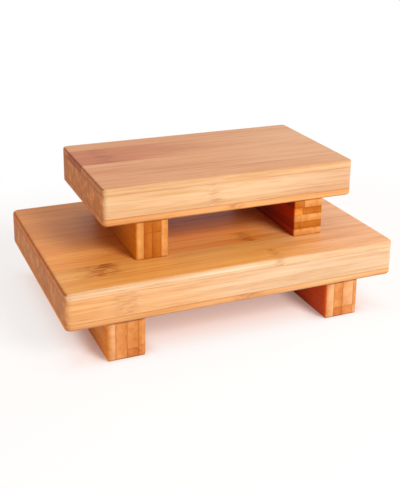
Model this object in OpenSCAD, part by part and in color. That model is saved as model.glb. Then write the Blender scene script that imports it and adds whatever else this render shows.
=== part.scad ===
// Stacking pair of sushi geta boards in laminated bamboo: a small board stands on a large one.
// Each board is a deck on two legs. The frame is the large board's own: +X along the decks,
// +Y to the back, +Z up, origin on the ground below the middle of the large deck.

/* [Large board] */
// Length of the large deck
large_length = 270; // [230:1:320]
// Depth of the large deck, front to back
large_depth = 180; // [150:1:220]
// Thickness of the large deck
large_thick = 30; // [28:1:36]
// Rounding of the large deck's edges, above and below
large_edge_r = 3; // [1:0.5:4]
// Rounding of the large deck's upright corners
large_corner_r = 5; // [4.5:0.5:7]
// Width of each leg of the large board
large_leg_width = 30; // [26:1:36]
// Height of the legs of the large board
large_leg_height = 30; // [26:1:40]
// From the deck's end to the leg's outer face
large_leg_inset = 30; // [15:1:45]
// From the deck's long side to the leg's end
large_leg_setback = 1; // [0.5:0.5:8]
// Rounding of the large legs' lower edges
large_leg_edge_r = 3; // [0.5:0.5:4]
// Rounding of the large legs' upright corners
large_leg_corner_r = 4; // [0.5:0.5:6]
// From the deck's long side to the nearest dowel
large_dowel_inset = 40; // [25:1:50]

/* [Small board] */
// Length of the small deck
small_length = 210; // [190:1:230]
// Depth of the small deck, front to back
small_depth = 120; // [105:1:140]
// Thickness of the small deck
small_thick = 30; // [28:1:36]
// Rounding of the small deck's edges, above and below
small_edge_r = 2; // [1:0.5:3]
// Rounding of the small deck's upright corners
small_corner_r = 4; // [3.5:0.5:6]
// Width of each leg of the small board
small_leg_width = 26; // [24:1:32]
// Height of the legs of the small board
small_leg_height = 30; // [26:1:40]
// From the deck's end to the leg's outer face
small_leg_inset = 25.5; // [15:0.5:35]
// From the deck's long side to the leg's end
small_leg_setback = 1; // [0.5:0.5:8]
// Rounding of the small legs' lower edges
small_leg_edge_r = 1; // [0.5:0.5:3]
// Rounding of the small legs' upright corners
small_leg_corner_r = 2; // [0.5:0.5:5]
// From the deck's long side to the nearest dowel
small_dowel_inset = 30; // [20:1:40]

/* [Laminate] */
// Thickness of the bamboo strips that face a deck, above and below
face_strip_thick = 6; // [4:0.5:7]
// Thickness of the glue between two pieces
glue_line = 0.1; // [0.05:0.05:0.2]

/* [Dowels] */
// Diameter of a dowel
dowel_d = 8; // [6:0.5:10]
// Length of a dowel, half of it in the leg and half in the deck
dowel_length = 36; // [24:1:36]
// Chamfer at a dowel's ends
dowel_chamfer = 1; // [0.5:0.1:1.5]
// Depth of the flutes along a dowel, which let the glue rise
dowel_flute_depth = 0.4; // [0.2:0.1:0.6]
// Room for glue round a dowel
dowel_room = 0.1; // [0.05:0.05:0.3]
// Room for glue beyond each end of a dowel
dowel_end_room = 0.8; // [0.4:0.1:1]

/* [Stack] */
// Small board's shift to the right of the large board's middle
stack_x = 9.7; // [-20:0.1:20]
// Small board's shift to the back of the large board's middle
stack_y = 4.7; // [-20:0.1:20]
// Small board's turn on the large one, in degrees
stack_turn = -0.6; // [-3:0.1:3]

/* [Hidden] */
$fn = 48;
// How far a cutting block reaches past what it cuts
overrun = 5;
// Strips that face a deck on each side, and strips on edge in its core
large_face_count = 9;
large_core_count = 25;
small_face_count = 6;
small_core_count = 17;
// Flutes round a dowel
flute_count = 8;

// A leg is built up in layers of bamboo strips that run front to back. For each leg: the
// layers' shares of the leg, left to right or, where they lie flat, top to bottom. Then the
// shares of each layer that its strips take, from its top or its left end.
large_left_layer_shares = [0.21, 0.29, 0.29, 0.21];
large_left_strip_shares = [[1], [1], [0.72, 0.28], [0.67, 0.33]];
large_right_layer_shares = [0.26, 0.26, 0.32, 0.16];
large_right_strip_shares = [[1], [0.7, 0.3], [0.7, 0.3], [0.7, 0.3]];
small_left_layer_shares = [0.24, 0.25, 0.28, 0.23];
small_left_strip_shares = [[1], [0.3, 0.7], [0.3, 0.7], [1]];
small_right_layer_shares = [0.2, 0.2, 0.2, 0.2, 0.2];
small_right_strip_shares = [[0.36, 0.64], [0.3, 0.7], [0.25, 0.75], [0.21, 0.79], [1]];

// Tones of bamboo, from pale natural to dark steamed
tones = [[0.96, 0.80, 0.60], [0.91, 0.70, 0.47], [0.85, 0.58, 0.34], [0.74, 0.46, 0.25]];
beech = [0.87, 0.72, 0.55];
large_top_tones = [1, 2, 1, 2, 1, 1, 2, 1, 1];
small_top_tones = [1, 1, 1, 2, 2, 1];
large_left_tones = [[0], [1], [1, 2], [0, 1]];
large_right_tones = [[0], [1, 2], [0, 0], [1, 1]];
small_left_tones = [[0], [3, 2], [3, 2], [0]];
small_right_tones = [[2, 0], [3, 2], [2, 0], [3, 2], [1]];

// A leg: its side of the board, the way its layers stand, and its shares and tones
large_left = [-1, "upright", large_left_layer_shares, large_left_strip_shares, large_left_tones];
large_right = [1, "upright", large_right_layer_shares, large_right_strip_shares, large_right_tones];
small_left = [-1, "upright", small_left_layer_shares, small_left_strip_shares, small_left_tones];
small_right = [1, "flat", small_right_layer_shares, small_right_strip_shares, small_right_tones];

// A board: its seat, its turn, its deck's size, its legs' size, the places of its legs and dowels
// from its middle, its strips' counts and its face tones. A rounding is a pair: that of the edges
// that lie flat, then that of the upright corners
large = [
    [0, 0, 0], 0,
    [large_length, large_depth, large_thick], [large_edge_r, large_corner_r],
    [large_leg_width, large_depth - 2 * large_leg_setback, large_leg_height],
    [large_leg_edge_r, large_leg_corner_r],
    large_length / 2 - large_leg_inset - large_leg_width / 2,
    large_depth / 2 - large_dowel_inset,
    large_face_count, large_core_count, large_top_tones
];
small = [
    [stack_x, stack_y, large_leg_height + large_thick], stack_turn,
    [small_length, small_depth, small_thick], [small_edge_r, small_corner_r],
    [small_leg_width, small_depth - 2 * small_leg_setback, small_leg_height],
    [small_leg_edge_r, small_leg_corner_r],
    small_length / 2 - small_leg_inset - small_leg_width / 2,
    small_depth / 2 - small_dowel_inset,
    small_face_count, small_core_count, small_top_tones
];
function seat(board) = board[0];
function turn(board) = board[1];
function deck_size(board) = board[2];
function deck_rounding(board) = board[3];
function leg_size(board) = board[4];
function leg_rounding(board) = board[5];
function leg_x(board) = board[6];
function dowel_y(board) = board[7];
function face_count(board) = board[8];
function core_count(board) = board[9];
function face_tones(board) = board[10];
function leg_side(leg) = leg[0];
function is_upright(leg) = leg[1] == "upright";
function layer_shares(leg) = leg[2];
function strip_shares(leg) = leg[3];
function strip_tones(leg) = leg[4];

// A row of n equal parts, and where part i of a row begins, as shares of the row
function equal_shares(n) = [for (i = [1:n]) 1 / n];
function start_share(shares, i) = i == 0 ? 0 : start_share(shares, i - 1) + shares[i - 1];
// The two sides of part i in a row, drawn back by half a glue line at each of its joints
function part_span(shares, i, size) = [
    start_share(shares, i) * size + (i > 0 ? glue_line / 2 : 0),
    start_share(shares, i + 1) * size - (i < len(shares) - 1 ? glue_line / 2 : 0)
];
// The same, for a row whose middle is at zero
function centred_span(shares, i, size) =
    let (span = part_span(shares, i, size)) [span[0] - size / 2, span[1] - size / 2];

// A deck's three plies, from its underside: faced below, core, faced above
function ply_shares(board) =
    let (face = face_strip_thick / deck_size(board)[2]) [face, 1 - 2 * face, face];
function ply_span(board, i) =
    let (span = part_span(ply_shares(board), i, deck_size(board)[2]))
    [leg_size(board)[2] + span[0], leg_size(board)[2] + span[1]];

// Puts a board's piece where the board stands
module seated(board) {
    translate(seat(board)) rotate(turn(board)) children();
}

// A rectangle about its middle with arcs at its corners
module eased_rectangle(size, r) {
    square([size[0], size[1] - 2 * r], center = true);
    square([size[0] - 2 * r, size[1]], center = true);
    for (x = [-1, 1], y = [-1, 1])
        translate([x * (size[0] / 2 - r), y * (size[1] / 2 - r)]) circle(r);
}

// A bar along Y about its middle, with its long edges rounded
module eased_bar(width, length, height, r) {
    rotate([90, 0, 0])
        linear_extrude(length, center = true)
            eased_rectangle([width, height], r);
}

// A post about its middle, with rounded rims
module eased_post(post_r, height, r) {
    rotate_extrude()
        intersection() {
            eased_rectangle([2 * post_r, height], r);
            translate([0, -height / 2]) square([post_r, height]);
        }
}

// A straight strip between its sides across X, Y and Z
module strip(x_span, y_span, z_span) {
    translate([x_span[0], y_span[0], z_span[0]])
        cube([x_span[1] - x_span[0], y_span[1] - y_span[0], z_span[1] - z_span[0]]);
}

// The outer form of a deck: two bars cross, and a post fills each corner. What reaches no
// corner needs only the bar that runs to the deck's ends
module at_deck_middle(board) {
    translate([0, 0, leg_size(board)[2] + deck_size(board)[2] / 2]) children();
}
module deck_end_form(board) {
    size = deck_size(board);
    at_deck_middle(board) eased_bar(size[0], size[1], size[2], deck_rounding(board)[0]);
}
module deck_form(board) {
    size = deck_size(board);
    edge_r = deck_rounding(board)[0];
    corner_r = deck_rounding(board)[1];
    straight_x = size[0] - 2 * corner_r;
    straight_y = size[1] - 2 * corner_r;
    at_deck_middle(board) {
        eased_bar(size[0], straight_y, size[2], edge_r);
        rotate(90) eased_bar(size[1], straight_x, size[2], edge_r);
        for (x = [-1, 1], y = [-1, 1])
            translate([x * straight_x / 2, y * straight_y / 2, 0])
                eased_post(corner_r, size[2], edge_r);
    }
}

// The outer form of a leg: three outlines that cross. Its upper edges stay square where the
// deck sits on it, so the form reaches higher than its strips do
module leg_form(board, side) {
    size = leg_size(board);
    edge_r = leg_rounding(board)[0];
    tall = size[2] + edge_r + overrun;
    translate([side * leg_x(board), 0, tall / 2])
        intersection() {
            linear_extrude(tall, center = true)
                eased_rectangle([size[0], size[1]], leg_rounding(board)[1]);
            eased_bar(size[0], size[1], tall, edge_r);
            rotate(90) eased_bar(size[1], size[0], tall, edge_r);
        }
}

// A dowel about its middle, with chamfered ends and round flutes along it
module dowel_form() {
    r = dowel_d / 2;
    end = dowel_length / 2;
    difference() {
        rotate_extrude()
            polygon([
                [0, -end], [r - dowel_chamfer, -end], [r, dowel_chamfer - end],
                [r, end - dowel_chamfer], [r - dowel_chamfer, end], [0, end]
            ]);
        for (i = [1:flute_count])
            rotate(i * 360 / flute_count)
                translate([r, 0, 0])
                    cylinder(r = dowel_flute_depth, h = dowel_length + overrun, center = true);
    }
}

// The places of a board's dowels, two in each leg, across the joint of leg and deck
module at_dowels(board) {
    for (side = [-1, 1], end = [-1, 1])
        translate([side * leg_x(board), end * dowel_y(board), leg_size(board)[2]]) children();
}
module dowel_bores(board) {
    at_dowels(board)
        cylinder(r = dowel_d / 2 + dowel_room, h = dowel_length + 2 * dowel_end_room, center = true);
}

// One strip of a deck, along its whole length, in row i of n across ply number ply
module deck_strip(board, i, n, ply) {
    reach = deck_size(board)[0] / 2 + overrun;
    y_span = centred_span(equal_shares(n), i - 1, deck_size(board)[1]);
    intersection() {
        strip([-reach, reach], y_span, ply_span(board, ply));
        if (i == 1 || i == n) deck_form(board);
        else deck_end_form(board);
    }
}

// A strip of a deck's upper face
module top_strip(board, i) {
    color(tones[face_tones(board)[i - 1]])
        seated(board)
            deck_strip(board, i, face_count(board), 2);
}

// A strip of a deck's underside, bored where a dowel passes
module bottom_strip(board, i) {
    color(tones[1])
        seated(board)
            difference() {
                deck_strip(board, i, face_count(board), 0);
                dowel_bores(board);
            }
}

// A strip of a deck's core, stood on edge. The first and last show on the deck's long sides
module core_strip(board, i) {
    color(tones[1])
        seated(board)
            difference() {
                deck_strip(board, i, core_count(board), 1);
                dowel_bores(board);
            }
}
module core_front_strip(board) {
    core_strip(board, 1);
}
module core_back_strip(board) {
    core_strip(board, core_count(board));
}
module core_inner_strips(board) {
    for (i = [2:core_count(board) - 1]) core_strip(board, i);
}

// Layer i of a leg: its strips run front to back and show their ends at the leg's end
module leg_layer(board, leg, i) {
    size = leg_size(board);
    shares = strip_shares(leg)[i - 1];
    middle = leg_side(leg) * leg_x(board);
    tall = size[2] - glue_line;
    reach = size[1] / 2 + overrun;
    across = part_span(layer_shares(leg), i - 1, is_upright(leg) ? size[0] : tall);
    for (k = [0:len(shares) - 1]) {
        along = part_span(shares, k, is_upright(leg) ? tall : size[0]);
        x_span = is_upright(leg) ? across : along;
        drop = is_upright(leg) ? along : across;
        color(tones[strip_tones(leg)[i - 1][k]])
            seated(board)
                difference() {
                    intersection() {
                        strip(
                            [middle - size[0] / 2 + x_span[0], middle - size[0] / 2 + x_span[1]],
                            [-reach, reach],
                            [tall - drop[1], tall - drop[0]]
                        );
                        leg_form(board, leg_side(leg));
                    }
                    dowel_bores(board);
                }
    }
}

// The dowels that hold a board's legs to its deck
module leg_dowels(board) {
    color(beech)
        seated(board)
            at_dowels(board) dowel_form();
}

for (i = [1:large_face_count]) {
    top_strip(large, i);
    bottom_strip(large, i);
}
core_front_strip(large);  // large_core_front_strip
core_back_strip(large);  // large_core_back_strip
core_inner_strips(large);  // large_core_inner_strips
for (i = [1:len(large_left_layer_shares)])
    leg_layer(large, large_left, i);
for (i = [1:len(large_right_layer_shares)])
    leg_layer(large, large_right, i);
leg_dowels(large);  // large_leg_dowels
for (i = [1:small_face_count]) {
    top_strip(small, i);
    bottom_strip(small, i);
}
core_front_strip(small);  // small_core_front_strip
core_back_strip(small);  // small_core_back_strip
core_inner_strips(small);  // small_core_inner_strips
for (i = [1:len(small_left_layer_shares)])
    leg_layer(small, small_left, i);
for (i = [1:len(small_right_layer_shares)])
    leg_layer(small, small_right, i);
leg_dowels(small);  // small_leg_dowels
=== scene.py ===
import math
import random
from functools import reduce

import bpy
import numpy as np
from mathutils import Matrix, Vector


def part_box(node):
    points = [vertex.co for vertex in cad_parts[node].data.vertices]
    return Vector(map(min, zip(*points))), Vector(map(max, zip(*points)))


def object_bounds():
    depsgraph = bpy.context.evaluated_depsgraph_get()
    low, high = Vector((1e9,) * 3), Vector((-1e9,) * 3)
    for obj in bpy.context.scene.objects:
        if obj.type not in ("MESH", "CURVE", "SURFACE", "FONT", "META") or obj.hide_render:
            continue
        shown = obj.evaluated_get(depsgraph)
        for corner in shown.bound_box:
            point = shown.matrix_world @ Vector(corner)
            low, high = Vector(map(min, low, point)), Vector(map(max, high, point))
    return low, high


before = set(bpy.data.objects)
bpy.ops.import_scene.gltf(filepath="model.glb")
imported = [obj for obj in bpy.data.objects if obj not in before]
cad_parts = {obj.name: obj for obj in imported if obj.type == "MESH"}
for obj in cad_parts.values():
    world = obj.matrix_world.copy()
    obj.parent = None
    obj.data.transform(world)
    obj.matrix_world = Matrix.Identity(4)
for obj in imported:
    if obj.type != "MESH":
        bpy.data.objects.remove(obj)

CAD_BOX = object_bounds()

# Places on a board are in millimetres in its own frame, where X runs along the deck and Y to
# the back. The floor, the lamps and the camera are in metres in the frame of both boards.
MM = 0.001
GLUE_LINE = 0.1
X, Y, Z = range(3)

# Every random draw starts from this
SEED = 7

# The share of light that a surface sends back where its screen colour is pure white
REFLECTANCE = 0.88


def tone(*screen):
    """A wood's linear colour, from the screen colour, 0 to 255, that it has in full light."""
    shares = [value / 255 for value in screen]
    return tuple(
        REFLECTANCE * (share / 12.92 if share <= 0.04045 else ((share + 0.055) / 1.055) ** 2.4)
        for share in shares
    )


# Bamboo as strips differ, pale natural to steamed brown, the dowels' beech, and painted sheen and
# shade
PALE = tone(230, 199, 163)
SILK = tone(222, 195, 163)
CREAM = tone(222, 187, 145)
# Painted sheen on the large top's right end, not a bamboo tone
PAINTED_SHEEN_LARGE = tone(237, 188, 144)
APRICOT = tone(230, 184, 151)
WHEAT = tone(210, 171, 133)
# Painted sheen on the small top's right end, not a bamboo tone
PAINTED_SHEEN_SMALL = tone(219, 172, 132)
STRAW = tone(224, 172, 115)
GINGER = tone(226, 171, 114)
GOLD = tone(227, 167, 90)
HONEY = tone(225, 167, 106)
AMBER = tone(231, 159, 78)
# Painted shade, not bamboo tones: the small board's shadow on the large top, weaker and full
PAINTED_SHADE_FRONT_EDGE = tone(238, 157, 72)
PAINTED_SHADE_UNDER_BOARD = tone(250, 154, 65)
ROSE = tone(212, 157, 112)
TAWNY = tone(218, 158, 108)
CHESTNUT = tone(202, 133, 83)
RUSSET = tone(193, 122, 51)
COCOA = tone(189, 115, 68)
BEECH = tone(230, 190, 146)

# Tones of each board's face strips, front to back
TOP_TONES = {"large": [GOLD] * 2 + [AMBER] * 7, "small": [ROSE] * 6}
# The tone of every core strip, which shows only on its end grain
CORE_TONE = HONEY
# Tones of the upper, core and lower strips' narrow sides on the decks' long faces
SIDE_TONES = {
    "large": {"top": PALE, "core": SILK, "bottom": STRAW},
    "small": {"top": CREAM, "core": CREAM, "bottom": HONEY},
}
# Tones of each leg's strips: layer by layer, and in a layer from the top down or left to right
LEG_TONES = {
    "large_left": [[APRICOT], [TAWNY], [TAWNY, CHESTNUT], [TAWNY, TAWNY]],
    "large_right": [[APRICOT], [TAWNY, CHESTNUT], [APRICOT, TAWNY], [TAWNY, APRICOT]],
    "small_left": [[GINGER], [RUSSET, RUSSET], [RUSSET, RUSSET], [GINGER]],
    "small_right": [
        [RUSSET, GINGER], [AMBER, RUSSET], [GINGER, GINGER], [RUSSET, RUSSET], [GINGER],
    ],
}
# The leg whose layers lie flat. Those of the others stand upright.
FLAT_LAYERED_LEG = "small_right"

# Strips that take another tone towards one end: the start of the node's name, which faces,
# the place where the tone is full, the place where it is gone, and the tone
FADES = [
    # Painted shade: the small board's shadow on the large top, weaker on strip 3 and redder on strips
    # 4 to 8
    ("large_top_strip_3", "flat", -25, -85, PAINTED_SHADE_FRONT_EDGE),
    *[(f"large_top_strip_{i}", "flat", -25, -85, PAINTED_SHADE_UNDER_BOARD) for i in (4, 5, 6, 7, 8)],
    # Painted sheen: both decks' tops paler towards their right ends
    ("large_top_strip", "flat", 120, 15, PAINTED_SHEEN_LARGE),
    ("small_top_strip", "flat", 105, -25, PAINTED_SHEEN_SMALL),
    ("small_top_strip_4", "flat", -85, 10, COCOA),
    ("small_top_strip_5", "flat", -85, 30, COCOA),
    ("large_core_front_strip", "side", -120, 60, STRAW),
    ("small_core_front_strip", "side", 85, 0, WHEAT),
]
# How far a fade's edge wanders along the strip
FADE_WANDER = 60

# A strip's knuckles: place along the deck, reach to the left and right, strength
KNUCKLES = {
    "large_top_strip_1": [(33, 6, 6, 0.5)],
    "large_top_strip_2": [(-93, 34, 11, 1.0)],
    "large_top_strip_3": [(26, 10, 10, 0.7)],
    "large_core_front_strip": [(-90, 16, 14, 0.35)],
    "small_top_strip_4": [(-82, 14, 12, 0.5)],
    "small_top_strip_5": [(-84, 12, 14, 0.3)],
    "small_core_front_strip": [(-17, 10, 10, 0.25)],
}
# Knuckles that the photograph doesn't show: the shares of the strip's ends between which the
# first lies, how far off the next is, their reach and strength
HIDDEN_FIRST = (0.9, 0.3)
HIDDEN_SPACING = (150, 210)
HIDDEN_REACH = (8, 20)
HIDDEN_STRENGTH = 0.6
# How far a knuckle's line wanders, and how far the fibres bend beside it
KNUCKLE_WANDER = 9
FIBRE_BEND = 8
# A knuckle's line: where it starts and is full beside its middle, where noise breaks it, and
# its strength
LINE_WIDTH = (2.5, 0.2)
LINE_BREAKS = (0.35, 0.60)
LINE_STRENGTH = 0.8
# The flecks beside it: where noise makes one, their strength, and that of the wood between
FLECK_STARTS = (0.38, 0.60)
FLECK_STRENGTH = 0.9
BETWEEN_STRENGTH = 0.2

# Tints are laid over a tone and multiply it. First those of fibres, vessels and knuckles, of
# a layer's dense side, and of the darkest strip in a row.
DARK = (0.86, 0.72, 0.56)
LIGHT = (1.05, 1.10, 1.18)
VESSEL_TINT = (0.80, 0.62, 0.46)
KNUCKLE_TINT = (0.56, 0.36, 0.22)
DENSE_TINT = (0.892, 0.796, 0.688)
ROW_TINT = (0.948, 0.92, 0.904)
# Tints of end grain: a deck's upper, core and lower strips, and a leg's ends
END_TINTS = {
    "top": (1.02, 0.88, 0.80),
    "core": (0.92, 0.81, 0.75),
    "bottom": (1.15, 0.98, 0.72),
    "leg": (0.96, 0.88, 0.68),
}
# Tints of the core's pale patches and pores, the ends' rounded rims, and painted shade on the long
# corners
PATCH_TINT = (1.27, 1.30, 1.39)
PORE_TINT = (0.974, 0.954, 0.94)
RIM_TINT = (0.66, 0.507, 0.388)
PAINTED_CORNER_SHADE = (0.84, 0.808, 0.808)
# Painted shade: tints of the legs' sides that face left, and what deepens them towards the back
PAINTED_FLANK_SHADE = {
    "large_left": (1.30, 0.92, 0.14),
    "large_right": (0.93, 0.21, 0.01),
    "small_left": (1.12, 0.78, 0.07),
    "small_right": (0.70, 0.12, 0.02),
}
PAINTED_DEEP_SHADE = (0.56, 0.44, 0.44)
PAINTED_DEEP_SHADE_REACH = 80

# The stain of the glue lines: its tint and width, and its strength along the fibres and how
# much stronger it is across their ends
GLUE_TINT = (0.55, 0.32, 0.18)
STAIN_WIDTH = 1.0
STAINS = {"top": (0.10, 0.50), "core": (0.15, 0.25), "bottom": (0.34, 0.20), "leg": (0.20, 0.05)}
# Added to the way to an edge on the outer face beside it, which the stain leaves bare
OUTER_OFFSET = 10

# How far the grain is shifted at random: for a node, past each joint, and in a row of strips
NODE_SHIFT = (0, 900)
JOINT_SHIFT = (200, 700)
ROW_SHIFT = 700

# Noises: how fast each changes along the fibres and across them both ways, its detail, its
# roughness and its swirl
NOISES = {
    "cloud": (0.02, 0.10, 0.10, 1, 0.5, 0),
    "fleck": (0.12, 0.34, 0.34, 2, 0.6, 0.8),
    "bend": (0.02, 0.11, 0.11, 1, 0.5, 0),
    "drift": (0.006, 0.07, 0.07, 2, 0.5, 0),
    "band": (0.007, 0.20, 0.20, 2, 0.5, 0),
    "streak": (0.010, 0.50, 0.50, 3, 0.6, 0),
    "fibre": (0.03, 2.0, 2.0, 2, 0.6, 0),
    "vessel": (0.05, 1.1, 1.1, 1, 0.5, 0),
    "mottle": (0.10, 0.09, 0.11, 1, 0.5, 0),
}
# A noise's value lies between 0 and 1, mostly near this
NOISE_MIDDLE = 0.5
# What noises lay over a tone: where a tint starts and is full, its strength, the tint, and
# whether it is calmer on end grain
TRAITS = [
    ("drift", 0.62, 0.36, 0.50, DARK, False),
    ("band", 0.48, 0.68, 0.50, DARK, False),
    ("band", 0.50, 0.32, 0.65, LIGHT, False),
    ("streak", 0.50, 0.70, 0.75, DARK, True),
    ("streak", 0.50, 0.30, 0.80, LIGHT, True),
    ("fibre", 0.48, 0.70, 0.30, DARK, False),
    ("vessel", 0.56, 0.68, 0.35, VESSEL_TINT, True),
]
# How much calmer end grain is, and where noise makes its patches and pores
END_CALM = 0.6
PATCHES = (0.46, 0.62)
PORES = (0.50, 0.66)
# The dense side of a leg's layer, towards the one face or the other
DENSE_SIDES = [(0.2, 1), (0.8, 0)]

# Where a face counts as what it is, from not at all to fully, by its normal along an axis
END_FACE = (0.62, 0.70)
RIM_FROM, RIM_TO = (0.40, 0.65), (0.98, 0.88)
LEVEL_RIM = (0.15, 0.35)
CORNER = (0.15, 0.55)
SIDE_FACE = (0.35, 0.7)
LEFT_FACE = (-0.5, -0.8)
OUTER_FACE = (0.2, 0.5)

# The oiled surface: coat weight and specular level of the decks and of the legs
DECK_GLOSS = (0.02, 0.4)
LEG_GLOSS = (0, 0.12)
COAT_ROUGHNESS = 0.3
# Its roughness, what the fibres add and what end grain adds
ROUGHNESS, FIBRE_ROUGHNESS, END_ROUGHNESS = 0.40, 0.10, 0.25
# Its relief, and the shares of the fibres, the streaks and the end grain's pores
RELIEF = 0.03 * MM
FIBRE_SHARE, STREAK_SHARE, PORE_SHARE = 0.5, 0.5, 0.4

# The dowels' raw beech: how fast its rays change, its darker tone, its surface
RAY_RATES = (1.1, 1.1, 0.12)
RAY_STARTS = (0.35, 0.7)
DARK_BEECH = [0.72 * c for c in BEECH]
BEECH_ROUGHNESS, RAY_ROUGHNESS = 0.6, 0.15
BEECH_RELIEF = 0.02 * MM


class Wire:
    """An output in a node tree. Sums and products of wires add Math nodes."""

    def __init__(self, recipe, socket):
        self.recipe = recipe
        self.socket = socket

    def beside(self, output):
        """Another output of the same node."""
        return Wire(self.recipe, self.socket.node.outputs[output])

    def math(self, operation, *others):
        values = dict(enumerate((self, *others)))
        return self.recipe.node("ShaderNodeMath", {"operation": operation}, values)

    def __add__(self, other):
        return self.math("ADD", other)

    __radd__ = __add__

    def __sub__(self, other):
        return self.math("SUBTRACT", other)

    def __rsub__(self, other):
        return self.recipe.node("ShaderNodeMath", {"operation": "SUBTRACT"}, {0: other, 1: self})

    def __mul__(self, other):
        return self.math("MULTIPLY", other)

    __rmul__ = __mul__

    def __truediv__(self, other):
        return self.math("DIVIDE", other)

    def __abs__(self):
        return self.math("ABSOLUTE")

    def floor(self):
        return self.math("FLOOR")

    def least(self, other):
        return self.math("MINIMUM", other)

    def most(self, other):
        return self.math("MAXIMUM", other)

    def above(self, other):
        return self.math("GREATER_THAN", other)

    def ease(self, start, end):
        """0 at start and 1 at end, with a soft step between, either way round."""
        low, high, to_low, to_high = (start, end, 0, 1) if start < end else (end, start, 1, 0)
        return self.recipe.node(
            "ShaderNodeMapRange", {"interpolation_type": "SMOOTHSTEP"},
            {"Value": self, "From Min": low, "From Max": high, "To Min": to_low, "To Max": to_high},
        )


class Recipe:
    """The node tree of a material or a world, and the calls that build it."""

    def __init__(self, owner):
        owner.use_nodes = True
        self.owner = owner
        self.tree = owner.node_tree
        self.tree.nodes.clear()

    def node(self, kind, settings=None, values=None, out=0):
        """Adds a node, sets it, then fills its sockets by name or number from values or wires."""
        node = self.tree.nodes.new(kind)
        for name, value in (settings or {}).items():
            setattr(node, name, value)
        for name, value in (values or {}).items():
            if isinstance(value, Wire):
                self.tree.links.new(value.socket, node.inputs[name])
            else:
                node.inputs[name].default_value = value
        return Wire(self, node.outputs[out]) if node.outputs else None

    def mix(self, share, first, second, blend="MIX"):
        """A colour between two, or one laid over the other."""
        full = [c if isinstance(c, Wire) else (*c, 1) for c in (first, second)]
        # Inputs 6 and 7 and output 2 are the node's sockets for colours
        return self.node(
            "ShaderNodeMix", {"data_type": "RGBA", "blend_type": blend},
            {0: share, 6: full[0], 7: full[1]}, out=2,
        )

    def mix_shaders(self, share, first, second):
        return self.node("ShaderNodeMixShader", None, {0: share, 1: first, 2: second})

    def axes(self, vector):
        x = self.node("ShaderNodeSeparateXYZ", None, {0: vector})
        return [x.beside(axis) for axis in (X, Y, Z)]

    def vector(self, x, y, z):
        return self.node("ShaderNodeCombineXYZ", None, {X: x, Y: y, Z: z})

    def noise(self, vector, detail=2, roughness=0.5, swirl=0):
        return self.node(
            "ShaderNodeTexNoise", None,
            {"Vector": vector, "Scale": 1, "Detail": detail, "Roughness": roughness,
             "Distortion": swirl},
        )

    def random(self, value):
        """A number from 0 to 1 that jumps with a whole number."""
        return self.node("ShaderNodeTexWhiteNoise", {"noise_dimensions": "1D"}, {"W": value})

    def object_place(self):
        return self.node("ShaderNodeTexCoord", out="Object")

    def board_place(self, board):
        """A point's place in its board's frame, in millimetres."""
        return self.node(
            "ShaderNodeMapping", {"vector_type": "TEXTURE"},
            {"Vector": self.object_place(), "Location": board.seat,
             "Rotation": (0, 0, board.turn), "Scale": (MM, MM, MM)},
        )

    def shows_white(self):
        """1 where a ray comes from the camera, off a gloss or through glass, else 0."""
        camera = self.node("ShaderNodeLightPath").beside("Is Camera Ray")
        return camera.most(camera.beside("Is Glossy Ray")).most(camera.beside("Is Transmission Ray"))

    def wood(self, colour, roughness, height, depth, coat=0, gloss=0.5):
        """Closes a material's tree with a satin surface."""
        bump = self.node("ShaderNodeBump", None, {"Height": height, "Distance": depth})
        shader = self.node(
            "ShaderNodeBsdfPrincipled", None,
            {"Base Color": colour, "Roughness": roughness, "Normal": bump,
             "Coat Weight": coat, "Coat Roughness": COAT_ROUGHNESS,
             "Specular IOR Level": gloss},
        )
        return self.close("ShaderNodeOutputMaterial", shader)

    def close(self, output, surface):
        self.node(output, None, {"Surface": surface})
        return self.owner


def points(node):
    """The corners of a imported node's mesh, in metres."""
    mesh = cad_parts[node].data
    flat = np.zeros(len(mesh.vertices) * 3)
    mesh.vertices.foreach_get("co", flat)
    return flat.reshape(-1, 3)


def whole_box(start):
    """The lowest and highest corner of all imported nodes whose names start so, in metres."""
    boxes = [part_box(node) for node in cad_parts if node.startswith(start)]
    low = Vector(np.min([box[0] for box in boxes], axis=0))
    high = Vector(np.max([box[1] for box in boxes], axis=0))
    return low, high


class Board:
    """A board's own frame, found from its packed strips."""

    def __init__(self, name):
        self.name = name
        low, high = whole_box(name + "_")
        self.seat = Vector(((low.x + high.x) / 2, (low.y + high.y) / 2, low.z))
        self.turn = self.strip_turn(name + "_top_strip_3")
        self.placed = Matrix.Translation(self.seat) @ Matrix.Rotation(self.turn, 4, "Z")

    @staticmethod
    def strip_turn(node):
        """The angle of a straight strip from X, from the spread of its corners."""
        flat = points(node)[:, :2]
        spread = np.linalg.eigh(np.cov((flat - flat.mean(0)).T))[1][:, -1]
        return math.atan(spread[1] / spread[0])

    def local(self, node):
        """A node's corners in this board's frame, in millimetres."""
        back = np.array(self.placed.inverted())
        return (points(node) @ back[:3, :3].T + back[:3, 3]) / MM

    def box(self, node):
        local = self.local(node)
        return local.min(0), local.max(0)

    def joints(self, node, axis):
        """Where glue parts a node's solids along an axis: no triangle spans such a place."""
        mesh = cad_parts[node].data
        mesh.calc_loop_triangles()
        places = self.local(node)[:, axis]
        spans = sorted(
            (places[list(t.vertices)].min(), places[list(t.vertices)].max())
            for t in mesh.loop_triangles
        )
        found = []
        reach = spans[0][1]
        for low, high in spans:
            if low > reach + GLUE_LINE / 2:
                found.append((low + reach) / 2)
            reach = max(reach, high)
        return found


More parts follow.
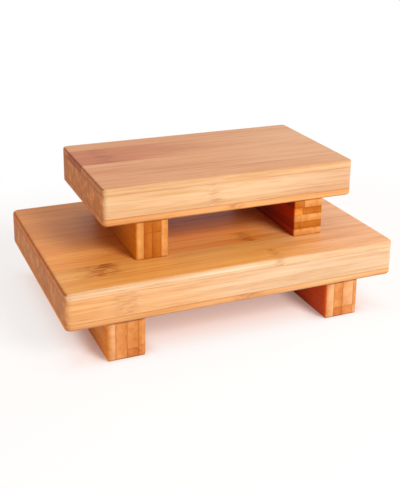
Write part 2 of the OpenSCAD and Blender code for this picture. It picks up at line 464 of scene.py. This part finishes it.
class Bamboo:
    """Laminated bamboo on one node. Each step lays one trait of the wood, or painted shade or sheen,
    over its colour.

    grain is the axis that the fibres follow, and split is the axis along which the node's
    strips follow each other.
    """

    def __init__(self, board, node, grain, split=None):
        self.board, self.node, self.grain, self.split = board, node, grain, split
        self.recipe = Recipe(bpy.data.materials.new(node))
        self.layer = next(part for part in END_TINTS if f"_{part}_" in node)
        self.place = self.recipe.axes(self.recipe.board_place(board))
        self.facing = self.recipe.axes(self.recipe.node("ShaderNodeNewGeometry", out="Normal"))
        self.low, self.high = board.box(node)
        self.outer_axes = [axis for axis in (X, Y, Z) if axis != grain]
        self.chance = random.Random(f"{SEED} {node}")
        self.along, self.wide, self.tall = (
            self.place[axis] + self.chance.uniform(*NODE_SHIFT)
            for axis in (grain, *self.outer_axes)
        )
        # Wires that hold how far it is to a joint
        self.to_joints = []

        # Where the surface is end grain, an end's rounded rim or a rounded long corner
        along_face = abs(self.facing[grain])
        level_face = abs(self.facing[Z])
        self.end = along_face.ease(*END_FACE)
        self.rim = level_face.ease(*LEVEL_RIM) * along_face.ease(*RIM_FROM) * along_face.ease(*RIM_TO)
        self.corner = abs(self.facing[Y]).ease(*CORNER) * level_face.ease(*CORNER)

    def tint(self, share, tint):
        self.colour = self.recipe.mix(share, self.colour, tint, "MULTIPLY")

    def noise(self, name):
        along, wide, tall, detail, roughness, swirl = NOISES[name]
        place = self.recipe.vector(self.along * along, self.wide * wide, self.tall * tall)
        return self.recipe.noise(place, detail, roughness, swirl)

    def lay_strips(self, tones):
        """Gives each strip its tone and its own stretch of the grain, in the joints' order."""
        self.colour = tones[0]
        joints = self.board.joints(self.node, self.split) if len(tones) > 1 else []
        for joint, next_tone in zip(joints, tones[1:]):
            later = self.place[self.split].above(joint)
            self.along = self.along + later * self.chance.uniform(*JOINT_SHIFT)
            self.colour = self.recipe.mix(later, self.colour, next_tone)
            self.to_joints.append(abs(self.place[self.split] - joint))

    def lay_row(self, row_tone):
        """Gives each strip of a row of equal ones its own shade and stretch of the grain."""
        low, high = self.low[self.split], self.high[self.split]
        pitch = (high - low + GLUE_LINE) / (len(self.board.joints(self.node, self.split)) + 1)
        steps = (self.place[self.split] - low) / pitch
        index = steps.floor()
        chance = self.recipe.random(index + 0.5)
        self.along = self.along + chance * ROW_SHIFT
        self.colour = row_tone
        self.tint(chance, ROW_TINT)
        share = steps - index
        self.to_joints.append(share.least(1 - share) * pitch)
        self.outer_axes.remove(self.split)

    def fade_tones(self, side):
        """Changes the tone towards one end, on some top strips as painted shade or painted sheen, and
        lays the side's tone on faces along Y.
        """
        for start, faces, full, gone, faded_tone in FADES:
            if self.node.startswith(start):
                wander = (self.noise("cloud") - NOISE_MIDDLE) * FADE_WANDER
                faded = (self.place[self.grain] + wander).ease(gone, full)
                if faces == "flat":
                    self.colour = self.recipe.mix(faded, self.colour, faded_tone)
                else:
                    side = self.recipe.mix(faded, side, faded_tone)
        if side is not None:
            to_side = abs(self.facing[Y]).ease(*SIDE_FACE)
            self.colour = self.recipe.mix(to_side, self.colour, side)

    def add_painted_flank_shade(self):
        """Painted shade: a leg's side that faces left is tinted warmer, and darker towards the back.
        """
        to_left = self.facing[X].ease(*LEFT_FACE)
        self.tint(to_left, PAINTED_FLANK_SHADE[self.node.split("_leg")[0]])
        painted_deep = self.place[Y].ease(self.low[Y], self.low[Y] + PAINTED_DEEP_SHADE_REACH)
        self.tint(to_left * painted_deep, PAINTED_DEEP_SHADE)

    def add_dense_side(self):
        """A leg's layer is denser and darker towards one of its faces."""
        wall = Z if self.split == X else X
        low, high = self.low[wall], self.high[wall]
        start, full = self.chance.choice(DENSE_SIDES)
        dense = ((self.place[wall] - low) / (high - low)).ease(start, full)
        self.tint(dense, DENSE_TINT)

    def add_knuckles(self, knuckles):
        """Knuckles bend the fibres, darken in a broken line and scatter flecks to both sides."""
        if not knuckles:
            return
        fleck = self.noise("fleck")
        bend = self.noise("bend") - NOISE_MIDDLE
        marks = []
        for centre, left, right, strength in knuckles:
            off = self.place[self.grain] - centre + bend * KNUCKLE_WANDER
            reach = off.ease(-left, 0) * off.ease(right, 0)
            line = abs(off).ease(*LINE_WIDTH) * fleck.ease(*LINE_BREAKS) * LINE_STRENGTH
            flecks = reach * (fleck.ease(*FLECK_STARTS) * FLECK_STRENGTH + BETWEEN_STRENGTH)
            marks.append(line.most(flecks) * strength)
            self.wide = self.wide + reach * bend * FIBRE_BEND
            self.tall = self.tall + reach * bend * FIBRE_BEND
        self.tint(reduce(Wire.most, marks), KNUCKLE_TINT)

    def add_grain(self):
        """Fibres: broad drift and bands, streaks, fine lines and short dark vessels."""
        noises = {name: self.noise(name) for name in ("drift", "band", "streak", "fibre", "vessel")}
        calm = 1 - self.end * END_CALM
        for name, start, full, strength, tint, calmer in TRAITS:
            share = noises[name].ease(start, full) * strength
            self.tint(calm * share if calmer else share, tint)
        self.pores = noises["vessel"].ease(*PORES)
        self.fibre, self.streak = noises["fibre"], noises["streak"]

    def add_end_grain(self):
        """End grain drinks oil: it is darker, mottled on the core, and darkest on the rim. The long
        corners get painted shade.
        """
        long_grain = self.colour
        self.tint(1, END_TINTS[self.layer])
        if self.layer == "core":
            self.tint(self.noise("mottle").ease(*PATCHES), PATCH_TINT)
            self.tint(self.pores, PORE_TINT)
        self.colour = self.recipe.mix(self.end, long_grain, self.colour)
        if self.layer != "leg":
            self.tint(self.rim, RIM_TINT)
        # Painted shade that dims the light on the long rounded corners
        self.tint(self.corner, PAINTED_CORNER_SHADE)

    def add_glue_stain(self):
        """A thin stain where glue meets the surface."""
        gaps = list(self.to_joints)
        for axis in self.outer_axes:
            to_edge = (self.place[axis] - self.low[axis]).least(self.high[axis] - self.place[axis])
            gaps.append(to_edge + abs(self.facing[axis]).ease(*OUTER_FACE) * OUTER_OFFSET)
        along_fibres, more_on_ends = STAINS[self.layer]
        strength = self.end * more_on_ends + along_fibres
        stain = reduce(Wire.least, gaps).ease(STAIN_WIDTH, GLUE_LINE)
        self.tint(stain * strength, GLUE_TINT)

    def material(self):
        """An oiled surface, rougher on end grain, with the fibres' relief and open pores."""
        raised = self.fibre * FIBRE_SHARE + self.streak * STREAK_SHARE
        height = raised - self.pores * self.end * PORE_SHARE
        roughness = ROUGHNESS + self.fibre * FIBRE_ROUGHNESS + self.end * END_ROUGHNESS
        gloss = LEG_GLOSS if self.layer == "leg" else DECK_GLOSS
        return self.recipe.wood(self.colour, roughness, height, RELIEF, *gloss)

    def finish(self, side=None, knuckles=()):
        """Takes the steps that all strips share once their tones are laid, and covers the node."""
        self.fade_tones(side)
        if self.layer == "leg":
            self.add_painted_flank_shade()
            self.add_dense_side()
        self.add_knuckles(knuckles)
        self.add_grain()
        self.add_end_grain()
        self.add_glue_stain()
        cover(self.node, self.material())


def cover(node, material):
    """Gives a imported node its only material."""
    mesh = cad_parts[node].data
    mesh.materials.clear()
    mesh.materials.append(material)


def dress_strip(board, node, strip_tone, side, knuckles):
    strip = Bamboo(board, node, grain=X)
    strip.lay_strips([strip_tone])
    strip.finish(side, knuckles)


def scattered_knuckles(board, node):
    """Two knuckles, well apart, for a strip whose knuckles don't show in the photograph."""
    chance = random.Random(f"{SEED} knuckle {node}")
    low, high = board.box(node)
    first = chance.uniform(low[X] * HIDDEN_FIRST[0], high[X] * HIDDEN_FIRST[1])
    places = [first, first + chance.uniform(*HIDDEN_SPACING)]
    return [
        (place, chance.uniform(*HIDDEN_REACH), chance.uniform(*HIDDEN_REACH), HIDDEN_STRENGTH)
        for place in places
    ]


def dress_deck(board):
    name = board.name
    sides = SIDE_TONES[name]
    tones = TOP_TONES[name]
    last = len(tones)
    for i, strip_tone in enumerate(tones, 1):
        at_edge = i in (1, last)
        node = f"{name}_top_strip_{i}"
        dress_strip(board, node, strip_tone, sides["top"] if at_edge else None,
                    KNUCKLES.get(node, []))
        node = f"{name}_bottom_strip_{i}"
        dress_strip(board, node, tones[last - i], sides["bottom"] if at_edge else None,
                    scattered_knuckles(board, node))
    for end in ("front", "back"):
        node = f"{name}_core_{end}_strip"
        knuckles = KNUCKLES.get(node) or scattered_knuckles(board, node)
        dress_strip(board, node, CORE_TONE, sides["core"], knuckles)
    inner = Bamboo(board, f"{name}_core_inner_strips", grain=X, split=Y)
    inner.lay_row(CORE_TONE)
    inner.finish()


def dress_legs(board):
    for side in ("left", "right"):
        leg = f"{board.name}_{side}"
        for i, tones in enumerate(LEG_TONES[leg], 1):
            lies_flat = leg == FLAT_LAYERED_LEG
            layer = Bamboo(board, f"{leg}_leg_layer_{i}", grain=Y, split=X if lies_flat else Z)
            layer.lay_strips(tones if lies_flat else tones[::-1])
            layer.finish()


def dress_dowels(board):
    """Plain beech, unfinished."""
    recipe = Recipe(bpy.data.materials.new(board.name + "_dowel_beech"))
    place = recipe.axes(recipe.board_place(board))
    stretched = [axis * rate for axis, rate in zip(place, RAY_RATES)]
    ray = recipe.noise(recipe.vector(*stretched), detail=3)
    colour = recipe.mix(ray.ease(*RAY_STARTS), BEECH, DARK_BEECH)
    roughness = BEECH_ROUGHNESS + ray * RAY_ROUGHNESS
    cover(board.name + "_leg_dowels", recipe.wood(colour, roughness, ray, BEECH_RELIEF))


WHITE = (1, 1, 1)
# The middle of the large deck's upper face: lamps shine at it, and the camera is placed by it
DECK_MIDDLE = Vector((0, 0, whole_box("large_")[1].z))
# The soft warm light from all around that fills the shadows
FILL = (0.53, 0.35, 0.22)

# The floor: half its side, and the share of plain white that it shows below the large deck,
# at the deck's edge and far off, where no shadow is left
FLOOR_HALF = 6.0
WHITE_BELOW, WHITE_AT_EDGE, WHITE_FAR = 0.48, 0.76, 1.0
# Where it whitens, from and to, in metres outside the deck's outline, below 0 inside it
WHITENS_NEAR = (-0.045, 0.0)
WHITENS_FAR = (0.05, 0.26)
# The shade round each foot: how far it reaches, where it starts and is full across the deck's
# outline, and how much of the white it takes
CONTACT_REACH = 0.016
CONTACT_EDGE = (0.004, -0.012)
CONTACT_LOSS = 0.6
# What the wood's warm light makes of the white below the deck, and where that ends
WARM_WHITE = (1, 0.72, 0.64)
WARM_WHITE_EDGE = (-0.040, 0.010)
# The shade's tint without that light and in it, the light's share at the feet and below the
# deck, and where its share below the deck starts and is full
COOL_SHADE = (0.88, 0.88, 0.90)
WARM_SHADE = (0.80, 0.50, 0.38)
WARMTH_AT_FEET = 0.7
WARMTH_BELOW = 0.5
WARMTH_EDGE = (0, -0.05)


def foot_shade(recipe, x, y, outside):
    """1 at the large board's feet, 0 away from them and outside the deck's outline."""
    low, high = whole_box("large_right_leg_layer")
    middle = (low[X] + high[X]) / 2
    half_width = (high[X] - low[X]) / 2
    out_of_foot = (abs(abs(x) - middle) - half_width).most(abs(y) - high[Y])
    return out_of_foot.ease(CONTACT_REACH, 0) * outside.ease(*CONTACT_EDGE)


def floor_white():
    """A matt floor that looks white, keeps a pale shadow near the boards and none far off."""
    recipe = Recipe(bpy.data.materials.new("floor_white"))
    x, y = recipe.axes(recipe.object_place())[:2]
    out_x = abs(x) - CAD_BOX[1][X]
    out_y = abs(y) - CAD_BOX[1][Y]
    # Metres outside the deck's outline, below 0 inside it, and the straight way to it
    outside = out_x.most(out_y)
    away = recipe.node("ShaderNodeVectorMath", {"operation": "LENGTH"},
                       {0: recipe.vector(out_x.most(0), out_y.most(0), 0)}, out="Value")
    contact = foot_shade(recipe, x, y, outside)
    bright = (
        WHITE_BELOW
        + outside.ease(*WHITENS_NEAR) * (WHITE_AT_EDGE - WHITE_BELOW)
        + away.ease(*WHITENS_FAR) * (WHITE_FAR - WHITE_AT_EDGE)
    )
    bright = bright * (1 - contact * CONTACT_LOSS)
    warmth = (contact * WARMTH_AT_FEET).most(outside.ease(*WARMTH_EDGE) * WARMTH_BELOW)
    shade = recipe.node(
        "ShaderNodeBsdfPrincipled", None,
        {"Base Color": recipe.mix(warmth, COOL_SHADE, WARM_SHADE),
         "Roughness": 0.9, "Specular IOR Level": 0.1},
    )
    warm = recipe.node("ShaderNodeEmission", None, {"Color": (*WARM_WHITE, 1)})
    plain = recipe.node("ShaderNodeEmission", None, {"Color": (*WHITE, 1)})
    white = recipe.mix_shaders(outside.ease(*WARM_WHITE_EDGE), warm, plain)
    surface = recipe.mix_shaders(recipe.shows_white() * bright, shade, white)
    return recipe.close("ShaderNodeOutputMaterial", surface)


def build_floor():
    half = FLOOR_HALF
    mesh = bpy.data.meshes.new("floor")
    corners = [(-half, -half, 0), (half, -half, 0), (half, half, 0), (-half, half, 0)]
    mesh.from_pydata(corners, [], [(0, 1, 2, 3)])
    mesh.materials.append(floor_white())
    floor = bpy.data.objects.new("floor", mesh)
    bpy.context.scene.collection.objects.link(floor)


def add_lamp(name, place, width, power, tint=WHITE):
    """A square lamp that shines at the boards and doesn't show in gloss."""
    data = bpy.data.lights.new(name, "AREA")
    data.shape = "SQUARE"
    data.size = width
    data.energy = power
    data.color = tint
    lamp = bpy.data.objects.new(name, data)
    bpy.context.scene.collection.objects.link(lamp)
    lamp.visible_glossy = False
    lamp.location = place
    lamp.rotation_euler = (DECK_MIDDLE - place).to_track_quat("-Z", "Y").to_euler()


def around(aim, azimuth, elevation, distance):
    """A place seen from aim: azimuth 0 is towards -Y, and positive turns towards +X."""
    a, e = math.radians(azimuth), math.radians(elevation)
    return aim + distance * Vector(
        (math.sin(a) * math.cos(e), -math.cos(a) * math.cos(e), math.sin(e))
    )


def build_light():
    """A key lamp in front, a wide one overhead, and a world that shows white and lights warm."""
    key_place = around(DECK_MIDDLE, azimuth=20, elevation=34, distance=1.6)
    add_lamp("key", key_place, width=0.6, power=25.3, tint=(0.985, 1, 1))
    add_lamp("overhead", Vector((0, 0.2, 1.8)), width=1.6, power=6)
    world = bpy.data.worlds.new("studio")
    bpy.context.scene.world = world
    recipe = Recipe(world)
    fill = recipe.node("ShaderNodeBackground", None, {"Color": (*FILL, 1)})
    white = recipe.node("ShaderNodeBackground", None, {"Color": (*WHITE, 1)})
    recipe.close("ShaderNodeOutputWorld", recipe.mix_shaders(recipe.shows_white(), fill, white))


def build_camera():
    """The photograph's camera, solved from the decks' edges in its 400 x 489 pixels."""
    width, height = 400, 489
    focal_px = 871.7
    middle_x, middle_y = 200.0, 150.0
    yaw, pitch, roll = (math.radians(angle) for angle in (-23.16, 16.526, 0.635))
    # Where the photograph shows the deck's middle, and how far it is from the camera
    anchor_px = (195.35, 224.06)
    anchor_depth = 0.7285

    ahead = Vector((-math.sin(yaw) * math.cos(pitch), math.cos(yaw) * math.cos(pitch),
                    -math.sin(pitch)))
    level = Vector((math.cos(yaw), math.sin(yaw), 0))
    above = level.cross(ahead)
    right = math.cos(roll) * level + math.sin(roll) * above
    up = math.cos(roll) * above - math.sin(roll) * level
    x = (anchor_px[0] - middle_x) / focal_px
    y = (middle_y - anchor_px[1]) / focal_px
    place = DECK_MIDDLE - anchor_depth * (ahead + x * right + y * up)

    data = bpy.data.cameras.new("photo_camera")
    data.sensor_width = 36
    data.lens = focal_px / max(width, height) * data.sensor_width
    data.shift_y = (middle_y - height / 2) / max(width, height)
    camera = bpy.data.objects.new("photo_camera", data)
    turned = Matrix((right, up, -ahead)).transposed().to_4x4()
    camera.matrix_world = Matrix.Translation(place) @ turned
    bpy.context.scene.collection.objects.link(camera)
    bpy.context.scene.camera = camera


for board in (Board("large"), Board("small")):
    dress_deck(board)
    dress_legs(board)
    dress_dowels(board)
build_floor()
build_light()
build_camera()
bpy.context.scene.view_settings.view_transform = "Standard"
